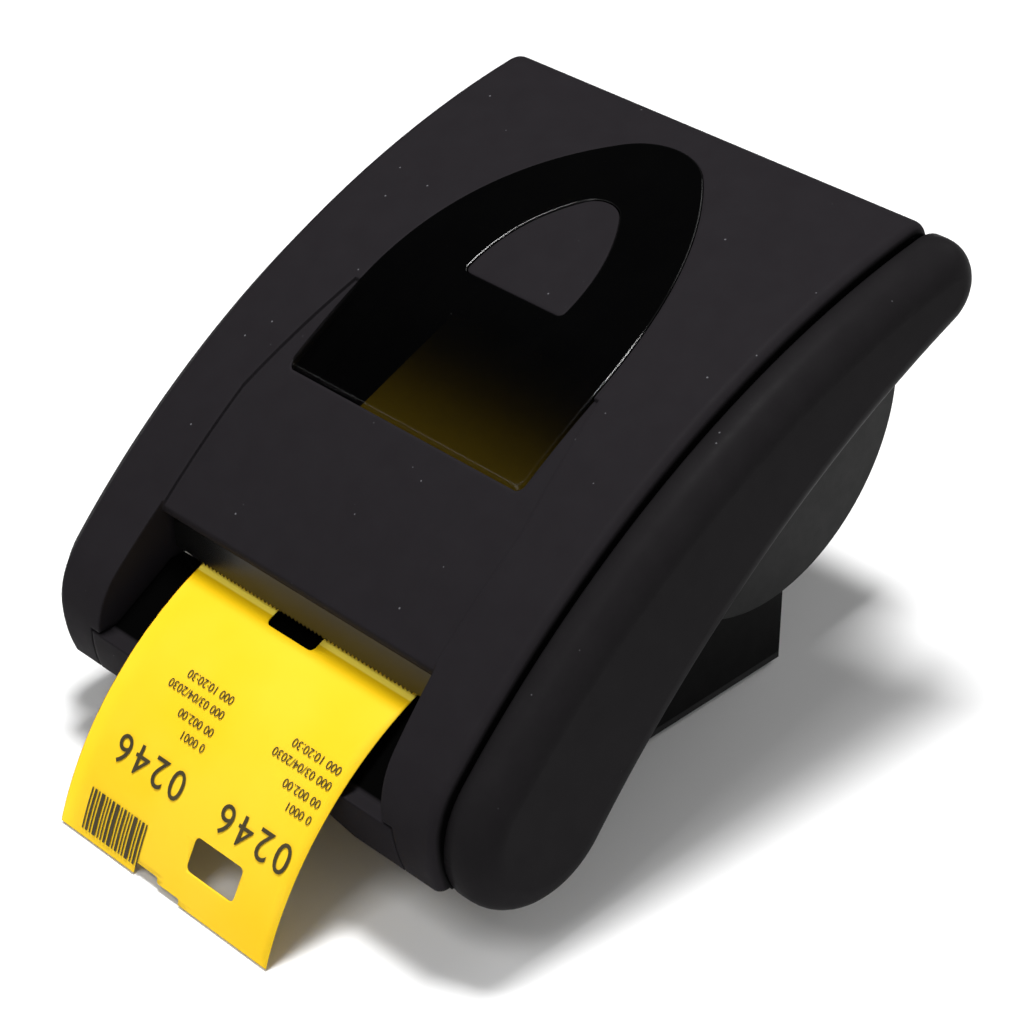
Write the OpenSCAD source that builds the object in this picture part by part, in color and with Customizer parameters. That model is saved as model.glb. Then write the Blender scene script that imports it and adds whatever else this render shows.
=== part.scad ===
// Ticket printer: an arched lid over a drum shaped roll tub on a pedestal.
// X runs to the right seen from the front, Y to the rear and Z up from the counter.
// Y is measured from the pedestal's centre, and place() then moves the whole over its footprint's middle.

/* [Lid] */
// Room between the drum's end and the cover's side face
side_room = 26.8; // [25:0.2:30]
// Wall of the cover
cover_wall = 2.5; // [2:0.1:3]
// Radius along the cover's side edges
cover_edge_r = 3; // [2:0.5:4]
// Radius of the arch that the cover follows
arch_r = 276.4; // [270:0.2:284]
// Distance of the arch's rear end behind the foot's centre
arch_rear_y = 71; // [69:0.5:74]
// Height of the arch's rear end
arch_rear_z = 146.8; // [145:0.2:150]
// Slope of the arch at its rear end, in degrees
arch_rear_slope = 8.24; // [7.8:0.02:8.8]
// Radius of the cover's rear edge
rear_edge_r = 7; // [6:0.5:8]
// Depth of the rear skirt below the rear edge
skirt_h = 12; // [9:0.5:13]
// Distance of the legs' front before the foot's centre
front_reach = 101; // [99:0.5:104]
// Radius of the legs' nose
nose_r = 24; // [20:0.5:28]
// Radius of the legs' chin, below the nose
chin_r = 45; // [40:1:60]
// Height of the legs' underside
leg_z = 25.7; // [24:0.1:28]
// Distance of the mouth's lip before the foot's centre
lip_reach = 79; // [77.5:0.5:81]
// Width of the mouth at the lip
mouth_w = 104.6; // [100:0.2:108]
// Width of the mouth at the legs' underside
mouth_low_w = 114; // [110:0.2:118]
// Depth of the centre panel below the side bands
panel_step = 1; // [0.5:0.1:1.5]

/* [Cheeks] */
// Thickness of a cheek
cheek_t = 12; // [9:0.5:14]
// Drop of the cheek's upper edge below the cover's edge
cheek_inset = 4.5; // [3.5:0.1:6]
// Further drop of the left cheek's upper edge
left_drop = 4; // [3:0.5:4.5]
// Radius of the cheek's front end
cheek_front_r = 26; // [23:0.5:28]
// Radius of the cheek's rear end
cheek_rear_r = 13; // [11:0.5:15]
// Distance of the rear end's centre behind the foot's centre
cheek_rear_y = 75; // [72:0.5:78]
// Radius of the cheek's lower edge
cheek_low_r = 315; // [290:1:340]
// Radius of the roll along the cheek's outer edges
cheek_roll = 9; // [7:0.5:10]

/* [Window and button] */
// Width of the window
window_w = 86; // [80:0.5:90]
// Distance of the window's lower edge before the foot's centre
window_low = 40.8; // [36:0.2:44]
// Distance of the window's upper end behind the foot's centre
window_top = 62.5; // [59:0.5:64]
// Radius of the window's sides
window_side_r = 103; // [98:1:110]
// Height of the window above the cover
window_proud = 0.3; // [0.2:0.1:0.5]
// Width of the feed button
button_w = 35.2; // [30:0.2:38]
// Length of the feed button
button_len = 38.5; // [36:0.5:40]
// Radius of the feed button's sides
button_side_r = 54; // [50:1:60]
// Travel of the feed button
button_travel = 1; // [0.6:0.1:1]

/* [Base] */
// Width of the pedestal
foot_w = 92; // [88:1:93]
// Length of the pedestal
foot_len = 122.8; // [116:0.4:126]
// Wall of the pedestal, the lower case and the tub
case_wall = 2.5; // [2:0.1:3]
// Radius of the drum shaped tub
drum_r = 51.7; // [50:0.1:53]
// Room between the paper roll and the drum's end wall
roll_play = 2.95; // [2:0.05:4]
// Distance of the drum's axis behind the foot's centre
drum_y = 53.7; // [51:0.1:56]
// Height of the drum's axis
drum_z = 76.5; // [75:0.1:79]
// Height of the nose's ledge under the ticket
ledge_z = 39.8; // [38:0.2:41]
// Height of the arched notch in the nose
notch_h = 9; // [6:0.5:10]
// Width of the arched notch
notch_w = 83; // [70:1:90]

/* [Paper] */
// Width of the ticket stock
paper_w = 82.5; // [70:0.5:83]
// Thickness of the ticket stock
paper_t = 0.3; // [0.2:0.05:0.4]
// Distance of the tear edge behind the lip
exit_back = 3.8; // [3:0.1:5]
// Drop of the tear edge below the lip
exit_drop = 16.46; // [15.5:0.02:17.5]
// Slope of the paper at the tear edge, in degrees
exit_slope = 22.5; // [21:0.1:23.5]
// Radius of the hanging ticket's curl
curl_r = 95; // [90:0.5:105]

/* [Drive] */
// Radius of the platen roller
platen_r = 7; // [6:0.1:7.5]
// Radius of the platen shaft
shaft_r = 3; // [2.5:0.1:3.5]
// Distance of the print line from the tear edge
print_line = 10.2; // [9.5:0.1:11]
// Module of the gears
gear_m = 1; // [0.9:0.02:1.05]
// Width of the gears
gear_w = 6; // [4:0.5:7]
// Radius of the spindle's journals
spindle_r = 6; // [5:0.1:7]
// Radius of the roll's cardboard core
core_r = 15; // [14:0.2:17]

/* [Hidden] */
$fa = 2;
$fs = 0.6;

// Clearances
seat_gap = 0.1;
move_gap = 0.3;
run_gap = 0.05;
lid_gap = 1.5;
lap = 0.05;
hair = 0.02;

// Colours
soft_black = [0.13, 0.13, 0.14];
cheek_black = [0.15, 0.15, 0.15];
drum_grey = [0.2, 0.2, 0.2];
gloss_black = [0.03, 0.03, 0.035];
ticket_yellow = [0.99, 0.86, 0.2];
steel = [0.72, 0.73, 0.75];
rubber_black = [0.08, 0.08, 0.08];
board_green = [0.1, 0.35, 0.2];

// Widths that follow the paper
drum_w = paper_w + 2 * (roll_play + case_wall);
cover_w = drum_w + 2 * side_room;
head_w = paper_w + 5.5;

// Arcs of the cover's side view, each a centre in Y and Z
arch_c = [arch_rear_y + arch_r * sin(arch_rear_slope), arch_rear_z - arch_r * cos(arch_rear_slope)];
nose_y = nose_r - front_reach;
nose_c = [nose_y, arch_c[1] + sqrt(pow(arch_r - nose_r, 2) - pow(arch_c[0] - nose_y, 2))];
chin_c = [chin_r - front_reach, nose_c[1]];
rear_c = arch_c + (arch_r - rear_edge_r) * [-sin(arch_rear_slope), cos(arch_rear_slope)];
arch_rear_a = 90 + arch_rear_slope;
arch_nose_a = angle_of(nose_c - arch_c);
chin_a = 180 + asin((nose_c[1] - leg_z) / chin_r);
skirt_z = rear_c[1] - skirt_h;
lip_y = -lip_reach;
lip_z = arch_z(lip_y);
leg_rear_y = lip_y + 7;
arch_depth = 80;
ear_w = 3.5;
ear_z = ledge_z + 0.8;
ledge_d = 4;

// Arcs of the cheek's side view
cheek_top_r = arch_r - cheek_inset;
cheek_rear_c = inside_arch(cheek_rear_y, cheek_inset + cheek_rear_r);
cheek_front_y = cheek_front_r + cheek_inset - 1 - front_reach;
cheek_front_c = inside_arch(cheek_front_y, cheek_inset + cheek_front_r);
low_c = apex_of(cheek_front_c, cheek_rear_c, cheek_low_r + cheek_front_r, cheek_low_r + cheek_rear_r, -1);
wall_low_r = cheek_low_r + 2;
floor_low_r = cheek_low_r + 4;
floor_top_r = floor_low_r + case_wall;
floor_half = cover_w / 2 - cover_wall - lid_gap;
floor_rear_y = arch_rear_y - 9;

// Hinge of the lid
hinge_y = arch_rear_y - 1;
hinge_z = arch_rear_z - 15.8;
pin_r = 2;
knuckle_r = 5;
bracket_x = drum_w / 2 + 5.3;
bracket_w = 8;
bracket_back = 13;
bracket_post = 12;
bracket_drop = 40;
arm_w = 5;
arm_gap = 0.5;

// Paper path, in a frame at the tear edge whose Y runs up the web and whose Z is the web's normal
exit_y = lip_y + exit_back;
exit_z = lip_z - exit_drop;
roll_at = to_web([drum_y, drum_z]);
roll_r = -roll_at[1] - move_gap;
rim_drop = 5;
rim_rear = 9;
cradle_t = 2.2;
spindle_half = drum_w / 2 - case_wall - move_gap;
curl_c = [exit_y, exit_z] + curl_r * [sin(exit_slope), -cos(exit_slope)];
ticket_lift = 0.8;
ticket_a0 = 90 + exit_slope;
ticket_a1 = 180 - asin((ticket_lift - curl_c[1]) / curl_r);
punch_r = 1.6;
punch_x = -2;
punch_w = 18;
punch_deep = 5.2;
end_deep = 3.2;
hole_x = 15.8;
hole_w = 18.4;
hole_len = 9.6;
hole_back = 14.8;

// Drive train on the left side
platen_c = from_web([print_line, -platen_r - move_gap]);
motor_c = platen_c + [22, 2];
platen_teeth = 16;
idler_teeth = 20;
pinion_teeth = 12;
idler_c = apex_of(platen_c, motor_c, mesh(platen_teeth, idler_teeth), mesh(idler_teeth, pinion_teeth), 1);
frame_in = max(drum_w, head_w + 4) / 2 + 0.5;
platen_half = frame_in - 4.2;
frame_t = 1.5;
gear_x = -frame_in - frame_t - 3.3 - gear_w;
pinion_turn = angle_of(idler_c - motor_c);
idler_turn = pinion_turn + 180 + 180 / idler_teeth;
platen_turn = angle_of(idler_c - platen_c) + 180 / platen_teeth
    - (idler_turn - angle_of(platen_c - idler_c)) * idler_teeth / platen_teeth;
// Bar between the frames under the web, from a distance along the web
tie_s = 44;
tie_w = 8;
tie_t = 3;
tie_drop = 4;
tie_rear_y = from_web([tie_s + tie_w, -tie_drop - tie_t])[0] + 1;
frame_top_z = max(from_web([tie_s + tie_w, -tie_drop])[1] + 1, idler_c[1] + 6);
motor_r = 11.5;
motor_len = 22;
bush_r = 5;
axle_r = 2;
motor_shaft_r = 1.5;

// Feed button, in a frame on the arch at the button's middle
button_y = 17.5;
stem_r = 3;
board_drop = 14;
post_x = 25;
post_s = 13;
post_r = 2.5;
board_t = 1.6;
flange_t = 1.6;
window_flange = 2.5;
corner_r = 1.8;

// Pedestal
pad_h = 1.5;
plate_t = 2;
foot_half = foot_w / 2;
rear_wall_y = foot_len / 2;
port_z = 13.5;
rocker_throw = 12;
rocker_half = 5;
screw_r = 1.5;
screw_len = 10;
screw_boss_r = 4;
screw_x = foot_half - case_wall - 3;
screw_y = foot_len / 2 - 20;
board_half = screw_x - screw_boss_r - 4;
board_front = 13.4 - foot_len / 2;
board_rear = foot_len / 2 - 16.4;
board_post_h = 4;
switch_x = -28;
switch_w = 21;
switch_h = 14;
switch_rim = 1.5;
pivot_r = 1.2;
socket_x = 2;
socket_w = 12;
socket_h = 11;
socket_wall = 0.8;
inlet_x = 28;
inlet_r = 5.5;

function angle_of(v) = atan2(v[1], v[0]);
function arch_z(y, depth = 0) = arch_c[1] + sqrt(pow(arch_r - depth, 2) - pow(y - arch_c[0], 2));
function arch_slope(y) = asin((arch_c[0] - y) / arch_r);
function inside_arch(y, depth) = [y, arch_z(y, depth)];
function polar(c, r, a) = c + r * [cos(a), sin(a)];
function mesh(a, b) = gear_m * (a + b) / 2;
// Corner of a triangle on the line a to b, with sides ra and rb, on one side of the line
function apex_of(a, b, ra, rb, side) =
    let (d = norm(b - a), u = (b - a) / d, k = (ra * ra - rb * rb + d * d) / (2 * d))
    a + k * u + side * sqrt(ra * ra - k * k) * [-u[1], u[0]];
function to_web(p) =
    let (v = p - [exit_y, exit_z])
    [v[0] * cos(exit_slope) + v[1] * sin(exit_slope), v[1] * cos(exit_slope) - v[0] * sin(exit_slope)];
function from_web(q) = [exit_y, exit_z]
    + [q[0] * cos(exit_slope) - q[1] * sin(exit_slope), q[0] * sin(exit_slope) + q[1] * cos(exit_slope)];

// The printer and its ticket stand about the middle of their footprint
module place() {
    front_y = polar(curl_c, curl_r + paper_t, ticket_a1)[0];
    translate([0, -(front_y + drum_y + drum_r) / 2, 0]) children();
}

// Frames and sweeps

// Side view in Y and Z, extruded across X about the middle
module across(w) {
    rotate([90, 0, 90]) linear_extrude(w, center = true) children();
}

// Side view extruded from one X to another
module between(x0, x1) {
    translate([x0, 0, 0]) rotate([90, 0, 90]) linear_extrude(x1 - x0) children();
}

// Section in radius and X, turned about an axis along X
module revolve(c, a0, a1) {
    translate([0, c[0], c[1]]) rotate([90, 0, 90]) rotate([0, 0, a0])
        rotate_extrude(angle = a1 - a0) children();
}

module disc(c, r) {
    translate(c) circle(r);
}

module rod(c, r, x0, x1) {
    between(x0, x1) disc(c, r);
}

module tube(c, r_out, r_in, x0, x1) {
    difference() {
        rod(c, r_out, x0, x1);
        rod(c, r_in, x0 - 1, x1 + 1);
    }
}

module on_web(s, n) {
    translate([0, exit_y, exit_z]) rotate([exit_slope, 0, 0]) translate([0, s, n]) children();
}

module on_arch(y, depth) {
    translate([0, y, arch_z(y, depth)]) rotate([arch_slope(y), 0, 0]) children();
}

// Box centred in X, from y0 to y1 and z0 to z1
module slab(w, y0, y1, z0, z1) {
    translate([-w / 2, y0, z0]) cube([w, y1 - y0, z1 - z0]);
}

module both_sides() {
    children();
    mirror([1, 0, 0]) children();
}

// Layer of the arch between two depths below its outer surface
module arch_layer(depth_out, depth_in, w) {
    revolve(arch_c, arch_rear_a - 5, arch_nose_a)
        translate([arch_r - depth_in, -w / 2]) square([depth_in - depth_out, w]);
}

// Section with its two outer corners rounded
module band(r0, r1, half_w, c) {
    translate([r0, -half_w]) square([r1 - c - r0, 2 * half_w]);
    translate([r0, c - half_w]) square([r1 - r0, 2 * (half_w - c)]);
    for (side = [-1, 1]) translate([r1 - c, side * (half_w - c)]) circle(c);
}

// Space inside the cover's outer face, drawn in by a depth. Each arc steps in by a hair from the one before it,
// and the small arcs run on a little under their larger neighbours
module envelope(depth, half_w, c) {
    over = 10;
    hair2 = 2 * hair;
    revolve(arch_c, arch_rear_a, arch_nose_a) band(arch_r - arch_depth, arch_r - depth, half_w, c);
    revolve(nose_c, arch_nose_a - over, 180 + over) band(0, nose_r - depth - hair, half_w - hair, c);
    revolve(chin_c, 180, chin_a) band(0, chin_r - depth - hair2, half_w - hair2, c);
    revolve(rear_c, -over, arch_rear_a + over) band(0, rear_edge_r - depth - hair, half_w - hair, c);
    translate([0, rear_c[0], skirt_z - depth]) linear_extrude(skirt_h + depth)
        rotate(90) band(0, rear_edge_r - depth - hair2, half_w - hair2, c);
    across(2 * (half_w - hair2 - hair)) intersection() {
        disc(chin_c, chin_r - depth - c - hair2);
        translate([chin_c[0] - chin_r, nose_c[1] - chin_r]) square([chin_r + 16, chin_r - 1]);
    }
}

// Space of the mouth between the legs, grown by a gap, up to a depth in Y.
// Below the ledge it is wider by an ear on each side
module mouth(grow, y_end) {
    lean = (mouth_low_w - mouth_w) / 2 / (lip_z - leg_z);
    low = mouth_low_w / 2 + grow + lean * leg_z;
    top_z = lip_z + 10;
    step_z = ear_z + grow;
    side = [[low + ear_w, 0], [low + ear_w - lean * step_z, step_z], [low - lean * step_z, step_z],
        [low - lean * top_z, top_z]];
    other_side = [for (i = [3 : -1 : 0]) [-side[i][0], side[i][1]]];
    translate([0, y_end, 0]) rotate([90, 0, 0]) linear_extrude(y_end + front_reach + 10)
        polygon(concat(side, other_side));
}

// Pointed arch with a rounded top and round lower corners,
// from its half width, lower edge, springing line, side radius and top
module pointed_arch(a, low, spring, side_r, top, grow) {
    offset_c = side_r - a;
    rise = top - spring;
    tip_r = (side_r * side_r - offset_c * offset_c - rise * rise) / (2 * (side_r - rise));
    tip_y = top - tip_r;
    half = a + grow;
    turn_y = spring + (side_r + grow) * (tip_y - spring) / norm([offset_c, tip_y - spring]);
    foot_r = corner_r + grow;
    translate([-half, low + corner_r]) square([2 * half, spring - low - corner_r]);
    translate([foot_r - half, low - grow]) square([2 * (half - foot_r), foot_r + lap]);
    for (side = [-1, 1]) translate([side * (half - foot_r), low + corner_r]) circle(foot_r);
    intersection() {
        translate([offset_c, spring]) circle(side_r + grow);
        translate([-offset_c, spring]) circle(side_r + grow);
        translate([-2 * half, spring - lap]) square([4 * half, turn_y - spring + lap]);
    }
    intersection() {
        translate([0, tip_y]) circle(tip_r + grow - hair);
        translate([-2 * half, turn_y - lap]) square([4 * half, side_r]);
    }
}

module window_prism(grow) {
    translate([0, 0, arch_c[1] + arch_r / 2]) linear_extrude(arch_r)
        pointed_arch(window_w / 2, -window_low, -window_low + 26, window_side_r, window_top, grow);
}

module button_prism(grow) {
    low = -button_len / 2;
    on_arch(button_y, 0) translate([0, 0, -20]) linear_extrude(40)
        pointed_arch(button_w / 2, low, low + corner_r + 0.7, button_side_r, button_len / 2, grow);
}

// Gear with involute teeth
module gear(teeth) {
    pitch_r = gear_m * teeth / 2;
    base_r = pitch_r * cos(20);
    slack = 0.15 / pitch_r * 180 / PI;
    function roll_of(r) = r <= base_r ? 0 : acos(base_r / r);
    function involute(r) = tan(roll_of(r)) * 180 / PI - roll_of(r);
    function half_at(r) = 90 / teeth - slack + involute(pitch_r) - involute(r);
    radii = [pitch_r - 1.2 * gear_m, base_r, pitch_r, pitch_r + 0.45 * gear_m, pitch_r + 0.85 * gear_m];
    last = len(radii) - 1;
    flank = [for (r = radii) [r, half_at(r)]];
    polygon([for (i = [0 : teeth - 1], k = [0 : 2 * last + 1])
        let (p = k <= last ? flank[k] : flank[2 * last + 1 - k],
             a = (k <= last ? -p[1] : p[1]) + 360 * i / teeth)
        p[0] * [cos(a), sin(a)]]);
}

module gear_at(c, teeth, turn, bore) {
    between(gear_x, gear_x + gear_w) translate(c) rotate(turn) difference() {
        gear(teeth);
        circle(bore);
    }
}

// Lid

module top_cover() {
    half = cover_w / 2;
    color(soft_black) difference() {
        union() {
            difference() {
                envelope(0, half, cover_edge_r);
                envelope(cover_wall, half - cover_wall, 0.5);
            }
            intersection() {
                envelope(cover_wall / 2, half - cover_wall / 2, cover_edge_r / 2);
                union() {
                    difference() {
                        mouth(cover_wall, leg_rear_y);
                        mouth(0, leg_rear_y + 1);
                    }
                    difference() {
                        slab(cover_w, -front_reach, leg_rear_y, leg_z, leg_z + cover_wall);
                        mouth(0, leg_rear_y + 1);
                    }
                }
            }
        }
        mouth(0, lip_y);
        slab(cover_w + 1, -front_reach - 1, hinge_y, -arch_r, leg_z);
        slab(mouth_low_w + 2 * ear_w, lip_y - 1, leg_rear_y + 1, leg_z - 1, leg_z + cover_wall + 1);
        across(cover_w + 1) disc(low_c, wall_low_r);
        window_prism(move_gap);
        intersection() {
            arch_layer(-5, panel_step, cover_w);
            translate([0, 0, leg_z]) linear_extrude(arch_rear_z)
                polygon(panel_outline());
        }
    }
}

// Plan of the recessed centre panel, from the lip up to the window's sides
function panel_outline() =
    let (a = mouth_w / 2 - 0.5, b = window_w / 2 + 2, low = -window_low)
    [[-a, lip_y - 9], [a, lip_y - 9], [a, low - 9], [b, low + 26], [-b, low + 26], [-a, low - 9]];

// Centre of a cheek's round end of radius r, which touches both edges
function cheek_end(r, drop) = apex_of(low_c, arch_c, cheek_low_r + r, cheek_top_r - drop - r, -1);

// Section of a cheek in radius and X, drawn in by a step, with its outer corner rolled over
module cheek_section(r0, r1, step) {
    roll = min(cheek_roll, cheek_t - 1, cheek_rear_r - 3);
    x0 = cover_w / 2 + seat_gap + step;
    depth = cheek_t - 2 * step;
    edge = r1 - step;
    translate([r0, x0]) square([edge - roll - r0, depth]);
    translate([r0, x0]) square([edge - r0, depth - roll]);
    intersection() {
        translate([edge - roll, x0 + depth - roll]) circle(roll);
        translate([edge - roll - lap, x0 + depth - roll - lap]) square(2 * roll);
    }
}

// Crescent between an upper arc, let down by a drop, and a lower arc. Its round ends lie a little inside it
// and run on under it
module cheek(drop) {
    over = 8;
    top_r = cheek_top_r - drop;
    front_r = cheek_front_r - drop / 2;
    rear_r = cheek_rear_r - drop / 2;
    front_c = cheek_end(front_r, drop);
    rear_c = cheek_end(rear_r, drop);
    top_a0 = angle_of(rear_c - arch_c);
    top_a1 = angle_of(front_c - arch_c);
    low_a0 = angle_of(rear_c - low_c);
    low_a1 = angle_of(front_c - low_c);
    intersection() {
        revolve(arch_c, top_a0, top_a1) cheek_section(top_r - arch_depth, top_r, 0);
        revolve(low_c, low_a0, low_a1)
            translate([cheek_low_r, 0]) mirror([1, 0]) cheek_section(-arch_depth, 0, -hair);
    }
    revolve(front_c, top_a1 - over, low_a1 + 180 + over) cheek_section(0, front_r, lap);
    revolve(rear_c, low_a0 - 180 - over, top_a0 + over) cheek_section(0, rear_r, lap);
}

module right_cheek() {
    color(cheek_black) cheek(0);
}

module left_cheek() {
    color(cheek_black) mirror([1, 0, 0]) cheek(left_drop);
}

module window() {
    flange_top = cover_wall + seat_gap;
    post_h = board_drop - flange_top - flange_t / 2;
    color(gloss_black) difference() {
        union() {
            intersection() {
                arch_layer(-window_proud, flange_top + flange_t, cover_w);
                window_prism(window_flange);
            }
            for (x = [-post_x, post_x], s = [-post_s, post_s])
                on_arch(button_y, board_drop) translate([x, s, 0])
                cylinder(h = post_h, r = post_r);
        }
        difference() {
            arch_layer(-window_proud - 1, flange_top, 2 * cover_w);
            window_prism(0);
        }
        button_prism(0.4);
    }
}

module feed_button() {
    flange_top = cover_wall + flange_t + seat_gap + 0.4;
    color(soft_black) {
        intersection() {
            arch_layer(0, flange_top + 1, cover_w);
            button_prism(0);
        }
        intersection() {
            arch_layer(flange_top, flange_top + flange_t, cover_w);
            button_prism(1.5);
        }
        on_arch(button_y, board_drop - 4 - button_travel) cylinder(h = 4, r = stem_r);
    }
}

module button_board() {
    half_len = post_s + 2 * post_r;
    color(board_green) on_arch(button_y, board_drop + board_t + seat_gap)
        slab(2 * post_x + 4 * post_r, -half_len, half_len, 0, board_t);
}

module tact_switch() {
    color(steel) on_arch(button_y, board_drop) {
        translate([-3, -3, 0]) cube([6, 6, 2.5]);
        cylinder(h = 3.8, r = 1.7);
    }
}

module exit_guide() {
    front = lip_y + 2.5;
    color(gloss_black) intersection() {
        slab(mouth_w - 2, front, front + 3.5, exit_z + 2.1, arch_rear_z);
        envelope(cover_wall + seat_gap, cover_w / 2, 1);
    }
}

// Strip under the lip, with a row of teeth along its lower edge over the paper's width
module tear_bar() {
    pitch = 1.5;
    count = floor((paper_w + 2) / pitch);
    low = exit_z + 1.3;
    tip = 0.9;
    plate_w = mouth_w - 4;
    color(gloss_black) translate([0, lip_y + 2.5 - seat_gap, 0]) rotate([90, 0, 0]) linear_extrude(0.6) {
        translate([-plate_w / 2, low + tip]) square([plate_w, lip_z - cover_wall - low - tip]);
        for (i = [0 : count - 1]) translate([(i - count / 2) * pitch, low + tip])
            polygon([[0, 0], [pitch / 2, -tip], [pitch, 0]]);
    }
}

module lid_arms() {
    reach = bracket_x - arm_gap - arm_w;
    color(drum_grey) both_sides() for (x = [reach, bracket_x + bracket_w + arm_gap]) difference() {
        intersection() {
            between(x, x + arm_w) {
                disc([hinge_y, hinge_z], knuckle_r);
                translate([hinge_y - knuckle_r, hinge_z]) square([2 * knuckle_r, bracket_drop]);
            }
            envelope(cover_wall + seat_gap, cover_w / 2, 1);
        }
        rod([hinge_y, hinge_z], pin_r + run_gap, x - 1, x + arm_w + 1);
    }
}

// Sprung print head above the platen, hung from the bracket
head_s = print_line - 3;
head_len = 16;
head_n = paper_t + move_gap;
sink_n = head_n + 1.4;
sink_h = 5;
bracket_n = sink_n + sink_h + 5;
bracket_t = 2.5;
spring_x = 25;
spring_r = 3.8;

module print_head() {
    color([0.85, 0.83, 0.78]) on_web(0, 0) slab(head_w, head_s, head_s + head_len, head_n, sink_n);
}

module head_sink() {
    fins = 8;
    gap = 1.1;
    step = (head_len + gap) / fins;
    color(steel) on_web(0, 0) difference() {
        slab(head_w, head_s, head_s + head_len, sink_n, sink_n + sink_h);
        for (i = [1 : fins - 1]) both_sides() translate([head_w / 2 - 9, head_s + i * step - gap, sink_n + 2])
            cube([10, gap, sink_h]);
    }
}

module head_springs() {
    from_n = sink_n + sink_h;
    color(steel) both_sides() on_web(head_s + head_len / 2, from_n) translate([spring_x, 0, 0]) difference() {
        cylinder(h = bracket_n - from_n + 1, r = spring_r);
        translate([0, 0, -1]) cylinder(h = 20, r = spring_r - 0.8);
    }
}

module head_bracket() {
    color(drum_grey) difference() {
        intersection() {
            on_web(0, 0) {
                slab(head_w, head_s + 2.5, head_s + head_len + 4, bracket_n, bracket_n + bracket_t);
                for (side = [-1, 1]) translate([side * (head_w / 2 - 4), 0, 0])
                    slab(7, head_s + 4, head_s + head_len, bracket_n, bracket_n + arch_rear_z / 4);
            }
            envelope(cover_wall + seat_gap, cover_w / 2, 1);
        }
        both_sides() on_web(head_s + head_len / 2, bracket_n - 1) translate([spring_x, 0, 0])
            cylinder(h = bracket_t + 2, r = spring_r + 0.4);
    }
}

// Base

// Side view under the lower case's floor: the arc of the cheek's lower edge, or the legs' underside
module above_floor(r, z) {
    difference() {
        translate([-front_reach - 20, z]) square([front_reach + 20 + floor_rear_y, arch_rear_z]);
        disc(low_c, r);
    }
}

module pedestal() {
    module side_view() {
        difference() {
            translate([-foot_len / 2, pad_h + plate_t]) square([foot_len, drum_z]);
            above_floor(floor_low_r - seat_gap, leg_z - seat_gap);
            disc([drum_y, drum_z], drum_r + seat_gap);
            translate([drum_y, drum_z - drum_r]) square([foot_len, drum_z + drum_r]);
        }
    }
    color(drum_grey) difference() {
        union() {
            difference() {
                across(foot_w) side_view();
                slab(foot_w - 2 * case_wall, case_wall - foot_len / 2, foot_len / 2 - case_wall,
                     0, 2 * drum_z);
            }
            screw_places() translate([0, 0, pad_h + plate_t]) cylinder(h = screw_len, r = screw_boss_r);
        }
        screw_places() cylinder(h = pad_h + screw_len + 1, r = screw_r + seat_gap);
        ports();
    }
}

module lower_case() {
    ramp_top = [leg_rear_y - 4.5, exit_z - 4];
    slope_back = [leg_rear_y, exit_z - 4];
    module nose_view(d) {
        intersection() {
            disc(chin_c, chin_r - d);
            polygon([[-2 * front_reach, leg_z + d], [leg_rear_y - d, leg_z + d], slope_back - [d, d],
                ramp_top - [0, d], [ledge_d - front_reach, ledge_z - d], [-2 * front_reach, ledge_z - d]]);
        }
    }
    color(soft_black) difference() {
        union() {
            difference() {
                intersection() {
                    across(cover_w) nose_view(0);
                    mouth(-0.5, leg_rear_y + 1);
                }
                intersection() {
                    across(cover_w) nose_view(case_wall);
                    mouth(-0.5 - case_wall, leg_rear_y + 1);
                }
            }
            difference() {
                across(2 * floor_half) difference() {
                    above_floor(floor_low_r, leg_z);
                    above_floor(floor_top_r, leg_z + case_wall);
                    translate([-2 * front_reach, 0]) square([2 * front_reach + leg_rear_y, arch_rear_z]);
                }
                slab(foot_w - 2 * case_wall, case_wall - foot_len / 2, foot_len, 0, arch_rear_z);
                rod([drum_y, drum_z], drum_r + seat_gap, -drum_w / 2 - seat_gap, drum_w / 2 + seat_gap);
                rod(motor_c, motor_r + move_gap, -frame_in - move_gap, motor_len - frame_in + move_gap);
            }
        }
        nose_notch();
    }
}

// Arched notch in the nose's lower front edge
module nose_notch() {
    r = (notch_w * notch_w / 4 + notch_h * notch_h) / (2 * notch_h);
    translate([0, chin_c[0] - chin_r + 14, leg_z + notch_h - r]) rotate([90, 0, 0]) cylinder(h = 30, r = r);
}

// Drum with an open top for the roll, and a cradle for the spindle inside each end wall
module roll_tub() {
    c = [drum_y, drum_z];
    wall_in = drum_w / 2 - case_wall;
    journal_end = spindle_half + seat_gap;
    color(drum_grey) difference() {
        union() {
            difference() {
                rod(c, drum_r, -drum_w / 2, drum_w / 2);
                rod(c, drum_r - case_wall, -wall_in, wall_in);
            }
            both_sides() rod(c, core_r - 3, wall_in - cradle_t, wall_in + 0.5);
        }
        intersection() {
            on_web(0, 0) slab(drum_w + 2, -20, 2 * roll_at[0], -rim_drop, 2 * drum_r);
            slab(2 * drum_w, -front_reach, hinge_y + rim_rear, 0, 2 * arch_rear_z);
        }
        rod(c, spindle_r + run_gap, -journal_end, journal_end);
        on_web(roll_at[0], roll_at[1])
            slab(2 * journal_end, -spindle_r - run_gap / 2, spindle_r + run_gap / 2, 0, drum_r);
    }
}

module base_plate() {
    color(drum_grey) difference() {
        slab(foot_w, -foot_len / 2, foot_len / 2, pad_h, pad_h + plate_t);
        screw_places() translate([0, 0, -1]) cylinder(h = plate_t + pad_h + 2, r = screw_r + 2 * seat_gap);
    }
}

module screw_places() {
    for (x = [-1, 1], y = [-1, 1]) translate([x * screw_x, y * screw_y, 0]) children();
}

module base_screws() {
    color(steel) screw_places() {
        translate([0, 0, pad_h - 1]) cylinder(h = 0.9, r = 3);
        translate([0, 0, pad_h - 0.2]) cylinder(h = screw_len, r = screw_r);
    }
}

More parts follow.
